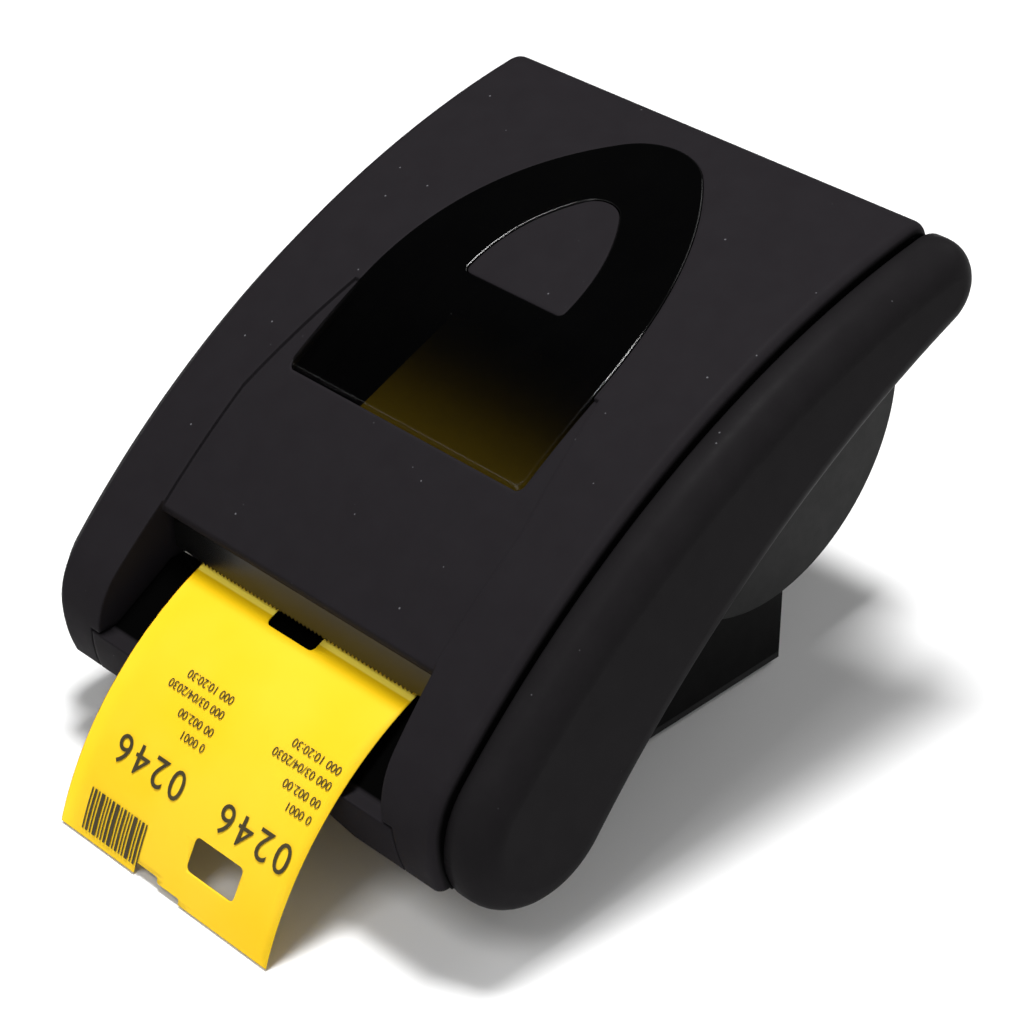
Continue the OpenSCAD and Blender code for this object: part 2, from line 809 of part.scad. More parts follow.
module rubber_feet() {
    inset = 10;
    color(rubber_black) for (x = [-1, 1], y = [-1, 1])
        translate([x * (foot_half - inset), y * (foot_len / 2 - inset), 0]) cylinder(h = pad_h, r = 6);
}

module side_frames() {
    module side_view() {
        difference() {
            polygon([[leg_rear_y + 1, leg_z + case_wall], [tie_rear_y, leg_z + case_wall],
                [tie_rear_y, frame_top_z], [idler_c[0] - 5, frame_top_z], [leg_rear_y + 1, platen_c[1] + 7]]);
            disc(low_c, floor_top_r + seat_gap);
            disc(platen_c, bush_r);
            disc(motor_c, 5);
            disc(idler_c, axle_r);
        }
    }
    color(steel) for (x = [frame_in, -frame_in - frame_t]) between(x, x + frame_t) side_view();
}

module platen_bushes() {
    color([0.9, 0.88, 0.82]) both_sides() {
        tube(platen_c, bush_r - run_gap, shaft_r + run_gap, frame_in, frame_in + frame_t + 1.5);
        tube(platen_c, bush_r + 1.2, shaft_r + run_gap, frame_in - 1.2, frame_in - run_gap);
    }
}

module stepper_motor() {
    back = motor_len - frame_in;
    color(steel) difference() {
        union() {
            rod(motor_c, motor_r, -frame_in + run_gap, back);
            rod(motor_c, 4.9, -frame_in - frame_t, -frame_in + 1);
        }
        rod(motor_c, motor_shaft_r + run_gap, -frame_in - 5, back - 4);
    }
}

module idler_axle() {
    color(steel) {
        rod(idler_c, axle_r, gear_x - 0.3, -frame_in);
        rod(idler_c, axle_r + 1.4, gear_x - 1.3, gear_x - 0.3);
    }
}

module tie_bar() {
    color(steel) on_web(tie_s, -tie_drop) slab(2 * frame_in, 0, tie_w, -tie_t, 0);
}

module media_sensor() {
    color(gloss_black) on_web(tie_s + 1, seat_gap - tie_drop)
        translate([-20, 0, 0]) cube([12, tie_w - 2, 2.5]);
}

module main_board() {
    top = pad_h + plate_t + board_post_h;
    chip = 20;
    can_r = 4;
    side = board_half - 4.5;
    color(board_green) {
        slab(2 * board_half, board_front, board_rear, top, top + board_t);
        for (x = [-side, side], y = [board_front + 8, board_rear - 7]) translate([x, y, pad_h + plate_t])
            cylinder(h = board_post_h + lap, r = post_r);
        translate([-12, -chip, top + board_t - lap]) cube([chip, chip, 1.8]);
        for (i = [0 : 3]) translate([3 * can_r * i - side, board_rear / 2.5, top + board_t - lap])
            cylinder(h = 2.25 * can_r, r = can_r);
    }
}

// Openings in the rear wall of the pedestal, each a little larger than the piece in it
module ports() {
    slot = 0.15;
    translate([switch_x, rear_wall_y, port_z]) cube([switch_w + slot, 20, switch_h + slot], center = true);
    translate([socket_x, rear_wall_y, port_z]) cube([socket_w + slot, 20, socket_h + slot], center = true);
    translate([inlet_x, rear_wall_y, port_z]) rotate([90, 0, 0])
        cylinder(h = 20, r = inlet_r + slot, center = true);
}

module switch_frame() {
    rim_w = switch_w + 2 * switch_rim;
    rim_h = switch_h + 2 * switch_rim;
    well_w = switch_w - 3;
    well_h = switch_h - 2;
    color(gloss_black) translate([switch_x, rear_wall_y, port_z]) difference() {
        union() {
            translate([-switch_w / 2, -14, -switch_h / 2]) cube([switch_w, 14 + 2 * seat_gap, switch_h]);
            translate([-rim_w / 2, seat_gap, -rim_h / 2]) cube([rim_w, 1.4, rim_h]);
        }
        translate([-well_w / 2, -9, -well_h / 2]) cube([well_w, 20, well_h]);
        translate([-switch_w, -4, 0]) rotate([0, 90, 0]) cylinder(h = 2 * switch_w, r = pivot_r + run_gap);
    }
}

// Rocker on a pivot across its frame
module power_rocker() {
    color(rubber_black) translate([switch_x, rear_wall_y - 4, port_z]) {
        across(switch_w - 4.2) rotate(-rocker_throw / 2)
            polygon([[-3, -4.2], [3, -rocker_half], [6, -rocker_half],
                     [6, rocker_half], [3, rocker_half], [-3, 4.2]]);
        rotate([0, 90, 0]) cylinder(h = switch_w - 0.6, r = pivot_r, center = true);
    }
}

module data_socket() {
    well_w = socket_w - 2 * socket_wall;
    well_h = socket_h - 2 * socket_wall;
    color(steel) translate([socket_x, rear_wall_y, port_z]) difference() {
        translate([-socket_w / 2, -16, -socket_h / 2]) cube([socket_w, 16.4, socket_h]);
        translate([-well_w / 2, -12, -well_h / 2]) cube([well_w, 20, well_h]);
    }
}

module power_inlet() {
    rim_t = 1.2;
    color(gloss_black) translate([inlet_x, rear_wall_y, port_z]) rotate([90, 0, 0]) difference() {
        union() {
            translate([0, 0, -seat_gap]) cylinder(h = 14, r = inlet_r);
            translate([0, 0, -rim_t]) cylinder(h = rim_t - seat_gap, r = inlet_r + 1.7);
        }
        translate([0, 0, -rim_t - 1]) cylinder(h = 11, r = inlet_r - 1.5);
    }
}

module hinge_brackets() {
    c = [hinge_y, hinge_z];
    rear = -bracket_back;
    front = -bracket_back - bracket_post;
    color(steel) both_sides() difference() {
        between(bracket_x, bracket_x + bracket_w) difference() {
            union() {
                disc(c, knuckle_r);
                polygon([c + [-2.5, knuckle_r - 0.7], c + [1.5, -knuckle_r + 0.2], c + [rear, -bracket_post],
                    c + [rear, -bracket_drop], c + [front, -bracket_drop], c + [front, 4 - bracket_post]]);
            }
            disc(low_c, floor_top_r + seat_gap);
        }
        rod(c, pin_r, 0, cover_w);
    }
}

module hinge_pins() {
    over = arm_gap + arm_w;
    color(steel) both_sides() rod([hinge_y, hinge_z], pin_r, bracket_x - over, bracket_x + bracket_w + over);
}

// Paper

module paper_web() {
    color(ticket_yellow) on_web(0, 0) slab(paper_w, 0, roll_at[0], 0, paper_t);
}

// Frame on the hanging ticket at a length along it, with Z outwards and Y back up the ticket
module on_ticket(length) {
    a = ticket_a0 + length / curl_r * 180 / PI;
    translate([0, curl_c[0], curl_c[1]]) rotate([a - 90, 0, 0]) translate([0, 0, curl_r]) children();
}

// Punched shape with round corners
module punch(w, len) {
    square([w - 2 * punch_r, len], center = true);
    square([w, len - 2 * punch_r], center = true);
    for (x = [-1, 1], y = [-1, 1])
        translate([x * (w / 2 - punch_r), y * (len / 2 - punch_r)]) circle(punch_r);
}

module ticket() {
    length = (ticket_a1 - ticket_a0) * PI / 180 * curl_r;
    color(ticket_yellow) difference() {
        revolve(curl_c, ticket_a0, ticket_a1) translate([curl_r, -paper_w / 2]) square([paper_t, paper_w]);
        on_ticket(0) translate([punch_x, 0, -2]) linear_extrude(4) punch(punch_w, 2 * punch_deep);
        on_ticket(length - hole_back) translate([hole_x, 0, -2]) linear_extrude(4) punch(hole_w, hole_len);
        on_ticket(length) translate([punch_x, 0, -2]) linear_extrude(4) {
            translate([-punch_w / 2, -1]) square([punch_w / 2, end_deep + 1]);
            translate([-lap, -1]) square([punch_w / 2 + lap, end_deep / 2 + 1]);
        }
    }
}

// Turning pieces

module platen_roller() {
    color(rubber_black) tube(platen_c, platen_r, shaft_r, -platen_half, platen_half);
}

module platen_shaft() {
    color(steel) rod(platen_c, shaft_r, gear_x - 1, frame_in + frame_t + 2.5);
}

module platen_gear() {
    color([0.9, 0.9, 0.86]) gear_at(platen_c, platen_teeth, platen_turn, shaft_r);
}

module idler_gear() {
    color([0.9, 0.9, 0.86]) gear_at(idler_c, idler_teeth, idler_turn, axle_r + run_gap);
}

module motor_pinion() {
    color([0.75, 0.6, 0.3]) {
        gear_at(motor_c, pinion_teeth, pinion_turn, 1);
        rod(motor_c, motor_shaft_r, gear_x, -frame_in + 16);
    }
}

module paper_roll() {
    color(ticket_yellow) tube([drum_y, drum_z], roll_r, core_r + seat_gap, -paper_w / 2, paper_w / 2);
}

module roll_core() {
    color([0.7, 0.55, 0.38]) tube([drum_y, drum_z], core_r, core_r - 2.3, -paper_w / 2, paper_w / 2);
}

module roll_spindle() {
    color(drum_grey) {
        rod([drum_y, drum_z], spindle_r, -spindle_half, spindle_half);
        rod([drum_y, drum_z], core_r - 2.3 - seat_gap, -paper_w / 2, paper_w / 2);
    }
}

place() top_cover();
place() left_cheek();
place() right_cheek();
place() window();
place() exit_guide();
place() tear_bar();
place() lid_arms();
place() head_bracket();
place() button_board();
place() tact_switch();
place() feed_button();
place() print_head();
place() head_sink();
place() head_springs();
place() pedestal();
place() base_plate();
place() rubber_feet();
place() base_screws();
place() roll_tub();
place() lower_case();
place() side_frames();
place() platen_bushes();
place() stepper_motor();
place() idler_axle();
place() tie_bar();
place() media_sensor();
place() main_board();
place() power_inlet();
place() data_socket();
place() switch_frame();
place() power_rocker();
place() hinge_brackets();
place() hinge_pins();
place() paper_web();
place() ticket();
place() platen_roller();
place() platen_shaft();
place() platen_gear();
place() idler_gear();
place() motor_pinion();
place() paper_roll();
place() roll_core();
place() roll_spindle();
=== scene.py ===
import math

import bmesh
import bpy
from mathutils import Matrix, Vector


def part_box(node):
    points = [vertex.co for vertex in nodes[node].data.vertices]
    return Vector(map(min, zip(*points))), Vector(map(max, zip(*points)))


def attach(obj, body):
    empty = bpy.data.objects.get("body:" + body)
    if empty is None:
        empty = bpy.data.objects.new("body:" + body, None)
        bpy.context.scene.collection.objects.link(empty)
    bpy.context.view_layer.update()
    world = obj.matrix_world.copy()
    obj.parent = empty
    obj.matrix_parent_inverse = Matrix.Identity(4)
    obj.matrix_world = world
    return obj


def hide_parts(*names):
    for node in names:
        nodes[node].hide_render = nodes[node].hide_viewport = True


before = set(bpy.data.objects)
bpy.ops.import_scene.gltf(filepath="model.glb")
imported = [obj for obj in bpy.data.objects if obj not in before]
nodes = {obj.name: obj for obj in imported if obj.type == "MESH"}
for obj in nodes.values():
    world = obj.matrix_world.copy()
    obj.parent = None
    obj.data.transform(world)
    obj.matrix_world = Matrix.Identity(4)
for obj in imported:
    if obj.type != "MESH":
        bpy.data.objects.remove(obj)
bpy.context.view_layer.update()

# Lengths below are in metres, and MM turns a size in millimetres into metres
MM = 0.001

# The photograph's camera, worked out from the object's straight edges and corners
CAMERA_AT = Vector((0.47366, -0.46132, 0.49980))
CAMERA_AIM = Vector((-0.5910, 0.5896, -0.5506))
CAMERA_LENS = 103.31
SENSOR_W = 36

# The room is darkest where the window's reflection looks, seen from the camera
DARK_SIDE = Vector((-0.6, 0.35, 0.72))
ROOM_DARK = 0.012
ROOM_PALE = 0.7

# The ticket hangs in one curl from the tear edge, with the sizes of the solid that it stands for
TICKET_LOW, TICKET_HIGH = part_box("ticket")
PAPER_W = TICKET_HIGH.x - TICKET_LOW.x
PAPER_T = 0.3 * MM
EXIT_ANGLE = math.radians(112.5)
CURL_R = 95 * MM
CURL_Y = TICKET_HIGH.y - CURL_R * math.cos(EXIT_ANGLE)
CURL_Z = TICKET_HIGH.z - (CURL_R + PAPER_T) * math.sin(EXIT_ANGLE)
END_ANGLE = math.pi - math.asin((TICKET_LOW.z - CURL_Z) / CURL_R)
TICKET_L = (END_ANGLE - EXIT_ANGLE) * CURL_R

# Distance of the crease from the tear edge, and length of the bend below it, where shade is painted on the
# ticket
CREASE = 2.3 * MM
BEND = 5 * MM

# Height of the nose's ledge under the ticket
LEDGE_Z = 40.2 * MM

# Distance from the middle beyond which the cover's side walls are painted polished black, as painted shade
# in the seams above the cheeks
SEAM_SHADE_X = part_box("top_cover")[1].x - 0.5 * MM

# Punched places on the ticket
NOTCH_X = -2 * MM
NOTCH_W = 18 * MM
NOTCH_DEEP = 5.2 * MM
END_NOTCH_DEEP = 3.2 * MM
END_NOTCH_STEP = 1.6 * MM
PUNCH_R = 1.6 * MM
HOLE_X = 15.8 * MM
HOLE_FROM_END = 14.8 * MM
HOLE_W = 18.4 * MM
HOLE_L = 9.6 * MM


# Meshes

# Points closer than this are one point
WELD = 0.001 * MM


def new_object(name, data):
    """An object of that mesh, curve, light or camera, linked into the scene."""
    made = bpy.data.objects.new(name, data)
    bpy.context.scene.collection.objects.link(made)
    return made


def finished(name, shape):
    """The mesh of a bmesh, which is freed."""
    mesh = bpy.data.meshes.new(name)
    shape.to_mesh(mesh)
    shape.free()
    return mesh


def joined(name, shapes):
    """One mesh of several bmeshes, which are freed."""
    whole = bmesh.new()
    for shape in shapes:
        part = finished("part", shape)
        whole.from_mesh(part)
        bpy.data.meshes.remove(part)
    return finished(name, whole)


def smooth(mesh):
    """Shades all faces of a mesh as one round surface."""
    for polygon in mesh.polygons:
        polygon.use_smooth = True


def arc(centre, radius, start, end, steps=6):
    """Points along an arc in the plane, with its angles in degrees."""
    angles = [math.radians(start + (end - start) * i / steps) for i in range(steps + 1)]
    return [(centre[0] + radius * math.cos(a), centre[1] + radius * math.sin(a)) for a in angles]


def round_box(middle, width, length, radius):
    """The outline of a rectangle with round corners, counter-clockwise."""
    right = middle[0] + width / 2 - radius
    left = middle[0] - width / 2 + radius
    top = middle[1] + length / 2 - radius
    bottom = middle[1] - length / 2 + radius
    corners = [((right, bottom), -90), ((right, top), 0), ((left, top), 90), ((left, bottom), 180)]
    return [point for centre, start in corners for point in arc(centre, radius, start, start + 90)]


def flat_shape(outlines):
    """A flat filled bmesh in X and Y, where the first outline is the edge and the others are holes."""
    curve = bpy.data.curves.new("outline", "CURVE")
    curve.dimensions = "2D"
    curve.fill_mode = "BOTH"
    for outline in outlines:
        spline = curve.splines.new("POLY")
        spline.points.add(len(outline) - 1)
        for point, (x, y) in zip(spline.points, outline):
            point.co = (x, y, 0, 1)
        spline.use_cyclic_u = True
    return meshed(curve)


def meshed(curve):
    """The mesh of a curve or a text, as a bmesh."""
    holder = new_object("holder", curve)
    shown = holder.evaluated_get(bpy.context.evaluated_depsgraph_get())
    mesh = bpy.data.meshes.new_from_object(shown)
    shape = bmesh.new()
    shape.from_mesh(mesh)
    bpy.data.objects.remove(holder)
    bpy.data.curves.remove(curve)
    bpy.data.meshes.remove(mesh)
    bmesh.ops.remove_doubles(shape, verts=shape.verts, dist=WELD)
    return shape


def sliced(shape, axis, start, end, step):
    """Cuts a flat shape into strips along an axis, so that it can bend."""
    normal = Vector((0, 0, 0))
    normal[axis] = 1
    for i in range(int((end - start) / step) + 1):
        parts = shape.verts[:] + shape.edges[:] + shape.faces[:]
        bmesh.ops.bisect_plane(shape, geom=parts, plane_co=normal * (start + i * step), plane_no=normal)


def on_ticket(across, along, lift):
    """A place on the hanging ticket: across it, along from the tear edge and lifted off its inner face."""
    angle = EXIT_ANGLE + along / CURL_R
    radius = CURL_R + lift
    return Vector((across, CURL_Y + radius * math.cos(angle), CURL_Z + radius * math.sin(angle)))


# Node materials

def feed(tree, socket, value):
    """Sets an input to a value, or links it to another node's output."""
    if isinstance(value, bpy.types.NodeSocket):
        tree.links.new(value, socket)
    else:
        socket.default_value = value


def add(tree, kind, inputs=None, **settings):
    """A shader node with its settings and inputs."""
    made = tree.nodes.new("ShaderNode" + kind)
    for key, value in settings.items():
        setattr(made, key, value)
    for key, value in (inputs or {}).items():
        feed(tree, made.inputs[key], value)
    return made


def new_material(name, **shader):
    """A material, its node tree and its shader, with the shader's plain inputs set."""
    material = bpy.data.materials.new(name)
    material.use_nodes = True
    tree = material.node_tree
    principled = tree.nodes["Principled BSDF"]
    for key, value in shader.items():
        principled.inputs[key.replace("_", " ").title().replace("Ior", "IOR")].default_value = value
    return material, tree, principled


def place(tree, stretch=(1, 1, 1)):
    """The point on the object in metres, stretched along the axes."""
    coordinates = add(tree, "TexCoord")
    mapping = add(tree, "Mapping", {"Vector": coordinates.outputs["Object"], "Scale": stretch})
    return mapping.outputs["Vector"]


def noise(tree, scale, detail=3.0, rough=0.6, stretch=(1, 1, 1)):
    """A noise of so many waves a metre."""
    inputs = {"Vector": place(tree, stretch), "Scale": scale, "Detail": detail, "Roughness": rough}
    return add(tree, "TexNoise", inputs).outputs["Fac"]


def spread(tree, value, low, high, from_low=0.0, from_high=1.0):
    """A value moved from one range to another, and kept inside it."""
    inputs = {"Value": value, "From Min": from_low, "From Max": from_high, "To Min": low, "To Max": high}
    return add(tree, "MapRange", inputs).outputs["Result"]


def math_node(tree, operation, first, second):
    """The result of an operation on two values."""
    made = add(tree, "Math", operation=operation)
    feed(tree, made.inputs[0], first)
    feed(tree, made.inputs[1], second)
    return made.outputs["Value"]


def mixed(tree, share, first, second):
    """A colour between two colours."""
    made = add(tree, "Mix", data_type="RGBA")
    feed(tree, made.inputs["Factor"], share)
    feed(tree, made.inputs[6], first)
    feed(tree, made.inputs[7], second)
    return made.outputs[2]


def specks(tree, scale, size, bare_share=0.45, core=0.6):
    """A mask of sparse round specks, each as large as a share of its cell, with some cells left bare."""
    cells = add(tree, "TexVoronoi", {"Vector": place(tree), "Scale": scale, "Randomness": 1.0})
    chance = add(tree, "SeparateColor", {"Color": cells.outputs["Color"]}).outputs["Red"]
    chosen = math_node(tree, "GREATER_THAN", chance, bare_share)
    near = spread(tree, cells.outputs["Distance"], 1.0, 0.0, size * core, size)
    return math_node(tree, "MULTIPLY", near, chosen)


def soft_edges(tree, radius):
    """The surface's direction with its sharp edges eased over a radius."""
    return add(tree, "Bevel", {"Radius": radius}, samples=6).outputs["Normal"]


def edge_mask(tree, radius, sharp=0.8, flat=0.98):
    """A mask that is one along sharp edges and zero on the faces."""
    eased = soft_edges(tree, radius)
    surface = add(tree, "NewGeometry").outputs["Normal"]
    likeness = add(tree, "VectorMath", operation="DOT_PRODUCT")
    feed(tree, likeness.inputs[0], eased)
    feed(tree, likeness.inputs[1], surface)
    return spread(tree, likeness.outputs["Value"], 1.0, 0.0, sharp, flat)


def bumped(tree, height, depth, normal=None):
    """The surface's direction after a relief of so many metres."""
    inputs = {"Height": height, "Distance": depth, "Strength": 1.0}
    if normal is not None:
        inputs["Normal"] = normal
    return add(tree, "Bump", inputs).outputs["Normal"]


# Where a noise is spread, the last two numbers are the range in which that noise mostly lies

# Specks of dust: how many cells a metre, the share of a cell that a speck fills, and their colour
DUST_CELLS = 180
DUST_SIZE = 0.06
DUST_COLOUR = (0.3, 0.3, 0.32, 1)

# How far the roughness of plastic strays from its mean
ROUGH_STRAY = 0.04


def moulded(name, dark, light, rough, grain, depth, dust=0.0, shine=0.5, edge_r=0.4 * MM,
            edge_light=1.6):
    """Moulded plastic: blotches, grain, worn edges and a few specks of dust."""
    material, tree, shader = new_material(name, ior=1.46, specular_ior_level=shine)
    blotches = noise(tree, 120, 5.0)
    colour = mixed(tree, spread(tree, blotches, 0, 1, 0.35, 0.7), dark + (1,), light + (1,))
    worn = tuple(min(1.0, channel * edge_light) for channel in light) + (1,)
    patches = spread(tree, noise(tree, 160), 0.2, 0.9)
    scuffs = math_node(tree, "MULTIPLY", edge_mask(tree, edge_r), patches)
    colour = mixed(tree, scuffs, colour, worn)
    if dust:
        dust_mask = math_node(tree, "MULTIPLY", specks(tree, DUST_CELLS, DUST_SIZE), dust)
        colour = mixed(tree, dust_mask, colour, DUST_COLOUR)
    feed(tree, shader.inputs["Base Color"], colour)
    sheen = spread(tree, noise(tree, 300, 5.0), rough - ROUGH_STRAY, rough + ROUGH_STRAY, 0.3, 0.7)
    feed(tree, shader.inputs["Roughness"], sheen)
    relief = bumped(tree, noise(tree, grain, 2.0), depth, soft_edges(tree, edge_r))
    feed(tree, shader.inputs["Normal"], relief)
    return material


# Polished black, which also serves as painted shade in the cover's seams, and the width over which plain
# plastic turns into it
POLISHED_BLACK = {"Base Color": (0.0012, 0.0012, 0.0012, 1), "Roughness": (0.16, 0.16, 0.16, 1)}
BLACK_BLUR = 0.5 * MM


def blackened(name, plain, axis, start):
    """The same plastic, polished black beyond a distance from the origin along an axis."""
    material = plain.copy()
    material.name = name
    tree = material.node_tree
    shader = tree.nodes["Principled BSDF"]
    along = add(tree, "SeparateXYZ", {"Vector": place(tree)}).outputs[axis]
    distance = math_node(tree, "MAXIMUM", along, math_node(tree, "MULTIPLY", along, -1.0))
    black = spread(tree, distance, 0.0, 1.0, start, start + BLACK_BLUR)
    for key, value in POLISHED_BLACK.items():
        plain_value = shader.inputs[key].links[0].from_socket
        feed(tree, shader.inputs[key], mixed(tree, black, plain_value, value))
    return material


def polished(name, dark, light, rough, edge_r=0.3 * MM, wiping=0.3, shine=0.5):
    """Glossy plastic with faint wiping marks."""
    material, tree, shader = new_material(name, ior=1.5, specular_ior_level=shine)
    colour = mixed(tree, spread(tree, noise(tree, 60, 4.0), 0, 1, 0.4, 0.65), dark + (1,), light + (1,))
    feed(tree, shader.inputs["Base Color"], colour)
    wiped = noise(tree, 120, 3.0, stretch=(1, 0.08, 1))
    dull = rough * (1 + 2 * wiping)
    feed(tree, shader.inputs["Roughness"], spread(tree, wiped, rough * (1 - wiping), dull, 0.3, 0.75))
    relief = bumped(tree, noise(tree, 700, 1.0), 0.0015 * MM, soft_edges(tree, edge_r))
    feed(tree, shader.inputs["Normal"], relief)
    return material


def brushed(name, dark, light, rough, stretch):
    """Bare metal with brushing marks along one axis."""
    material, tree, shader = new_material(name, metallic=1.0)
    marks = noise(tree, 900, 4.0, stretch=stretch)
    feed(tree, shader.inputs["Base Color"], mixed(tree, marks, dark + (1,), light + (1,)))
    feed(tree, shader.inputs["Roughness"], spread(tree, marks, rough - 0.08, rough + 0.12, 0.3, 0.7))
    relief = bumped(tree, marks, 0.004 * MM, soft_edges(tree, 0.15 * MM))
    feed(tree, shader.inputs["Normal"], relief)
    return material


def paper(name, dark, light, rough=0.62):
    """Coated ticket stock with a fine fibre tooth."""
    material, tree, shader = new_material(name, ior=1.4, specular_ior_level=0.1)
    fibres = noise(tree, 1500, 3.0, stretch=(1, 0.5, 0.5))
    tone = mixed(tree, spread(tree, noise(tree, 30, 2.0), 0, 1, 0.35, 0.65), dark + (1,), light + (1,))
    feed(tree, shader.inputs["Base Color"], tone)
    feed(tree, shader.inputs["Roughness"], spread(tree, fibres, rough - 0.06, rough + 0.08))
    feed(tree, shader.inputs["Normal"], bumped(tree, fibres, 0.006 * MM))
    return material


# The crease's share of its paler colour and its blur, and the bend's share of painted shade
CREASE_PALE = 0.9
CREASE_BLUR = 0.15 * MM
PAINTED_BEND_SHADE = 0.85


def creased_paper(name, dark, light, crease, painted_bend_colour):
    """Ticket stock that is paler along the crease at the tear edge, with shade painted in the bend below
    it.
    """
    material = paper(name, dark, light)
    tree = material.node_tree
    shader = tree.nodes["Principled BSDF"]
    tone = shader.inputs["Base Color"].links[0].from_socket
    along = add(tree, "SeparateXYZ", {"Vector": place(tree)}).outputs["Y"]
    inner = on_ticket(0, CREASE, PAPER_T).y
    bend_end = on_ticket(0, CREASE + BEND, PAPER_T).y
    # Painted shade: the lip's shadow in the bend below the crease, painted into the colour
    painted_bend_share = spread(tree, along, 0, PAINTED_BEND_SHADE, bend_end, (bend_end + inner) / 2)
    paler_strip = spread(tree, along, 0, CREASE_PALE, inner - CREASE_BLUR, inner + CREASE_BLUR)
    tone = mixed(tree, painted_bend_share, tone, painted_bend_colour + (1,))
    feed(tree, shader.inputs["Base Color"], mixed(tree, paler_strip, tone, crease + (1,)))
    return material


# Solder mask on bare board and over the copper tracks
MASK_GREEN = (0.004, 0.04, 0.016, 1)
TRACK_GREEN = (0.012, 0.1, 0.04, 1)


def circuit_board(name):
    """Green solder mask over copper tracks."""
    material, tree, shader = new_material(name, ior=1.5, coat_weight=0.4, coat_roughness=0.15)
    cells = add(tree, "TexVoronoi", {"Vector": place(tree), "Scale": 260}, distance="MANHATTAN")
    tracks = spread(tree, cells.outputs["Distance"], 1, 0, 0.28, 0.34)
    feed(tree, shader.inputs["Base Color"], mixed(tree, tracks, MASK_GREEN, TRACK_GREEN))
    feed(tree, shader.inputs["Roughness"], spread(tree, noise(tree, 200), 0.3, 0.5))
    feed(tree, shader.inputs["Normal"], bumped(tree, tracks, 0.03 * MM))
    return material


# Where the lens changes from smoked to painted: its share of the length, and the fade on both sides
SMOKED_SHARE = 0.24
FADE_BELOW = 12 * MM
FADE_ABOVE = 14 * MM
SMOKED_COVER = 0.53


def smoked_lens(name):
    """Glossy black lens that is see-through below the button, where it is smoked and not painted."""
    material, tree, shader = new_material(name, ior=1.5)
    low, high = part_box("window")
    split = low.y + SMOKED_SHARE * (high.y - low.y)
    along = add(tree, "SeparateXYZ", {"Vector": place(tree)}).outputs["Y"]
    painted = spread(tree, along, 0.0, 1.0, split - FADE_BELOW, split + FADE_ABOVE)
    tint = mixed(tree, noise(tree, 60, 4.0), (0.0004, 0.0004, 0.0005, 1), (0.001, 0.001, 0.001, 1))
    feed(tree, shader.inputs["Base Color"], tint)
    feed(tree, shader.inputs["Alpha"], spread(tree, painted, SMOKED_COVER, 1.0))
    wiped = noise(tree, 120, 3.0, stretch=(1, 0.08, 1))
    feed(tree, shader.inputs["Roughness"], spread(tree, wiped, 0.04, 0.12, 0.3, 0.75))
    relief = bumped(tree, noise(tree, 500, 1.0), 0.001 * MM, soft_edges(tree, 0.7 * MM))
    feed(tree, shader.inputs["Normal"], relief)
    return material


MATERIALS = {
    "soft_black": moulded("soft_touch_black", (0.0128, 0.0114, 0.0130), (0.0139, 0.0125, 0.0142), rough=0.5,
                          grain=2600, depth=0.012 * MM, dust=0.3, shine=0.014, edge_r=1.3 * MM),
    "cheek_black": moulded("satin_black", (0.0102, 0.0094, 0.0102), (0.0114, 0.0106, 0.0114), rough=0.42,
                           grain=1900, depth=0.012 * MM, dust=0.25, shine=0.012),
    "case_grey": moulded("grained_black", (0.018, 0.018, 0.018), (0.023, 0.023, 0.023), rough=0.58,
                         grain=1500, depth=0.02 * MM, dust=0.3, shine=0.09),
    "gloss_black": polished("gloss_black", (0.003, 0.003, 0.003), (0.007, 0.007, 0.007), rough=0.1),
    "steel": brushed("brushed_steel", (0.42, 0.42, 0.43), (0.62, 0.62, 0.63), rough=0.33,
                     stretch=(0.05, 1, 1)),
    "heat_sink": brushed("milled_aluminium", (0.62, 0.63, 0.65), (0.78, 0.79, 0.8), rough=0.3,
                         stretch=(0.04, 1, 1)),
    "head_ceramic": polished("glazed_ceramic", (0.5, 0.49, 0.45), (0.62, 0.61, 0.57), rough=0.16),
    "rubber": moulded("rubber", (0.012, 0.012, 0.012), (0.02, 0.02, 0.02), rough=0.8,
                      grain=1200, depth=0.03 * MM),
    "circuit_board": circuit_board("solder_mask"),
    "white_plastic": moulded("acetal", (0.66, 0.65, 0.6), (0.74, 0.73, 0.68), rough=0.42,
                             grain=900, depth=0.006 * MM, edge_light=1.1),
    "pinion_brass": brushed("brass", (0.55, 0.4, 0.16), (0.72, 0.54, 0.24), rough=0.3,
                            stretch=(0.05, 1, 1)),
    "ticket_stock": paper("ticket_paper", (0.93, 0.6, 0.016), (0.95, 0.63, 0.03)),
    "core_board": paper("core_board", (0.33, 0.22, 0.12), (0.42, 0.29, 0.17), rough=0.8),
}
# The printed ticket stock, with painted shade in the bend below the crease
PRINTED_STOCK = creased_paper("ticket_stock", (0.83, 0.53, 0.014), (0.85, 0.56, 0.026),
                              crease=(1.0, 0.8, 0.1), painted_bend_colour=(0.84, 0.53, 0.0))
EXIT_PLASTIC = polished("exit_plastic", (0.002, 0.002, 0.002), (0.003, 0.003, 0.003), rough=0.24,
                        wiping=0.04, shine=0.2)
OWN_MATERIALS = {
    "window": smoked_lens("smoked_lens"),
    # The pedestal's plastic is darker than the drum's: partly a darker plastic, and partly painted shade
    # where the drum shades it
    "pedestal": moulded("foot_black", (0.0042, 0.0042, 0.0042), (0.0056, 0.0056, 0.0056), rough=0.55,
                        grain=1500, depth=0.02 * MM, dust=0.2, shine=0.04),
    "lower_case": blackened("nose_black", MATERIALS["soft_black"], "Z", LEDGE_Z),
    # Painted shade: the cover's side walls in the seams above the cheeks are painted polished black
    "top_cover": blackened("cover_black_seam_shade", MATERIALS["soft_black"], "X", SEAM_SHADE_X),
    "exit_guide": EXIT_PLASTIC,
    "tear_bar": EXIT_PLASTIC,
}
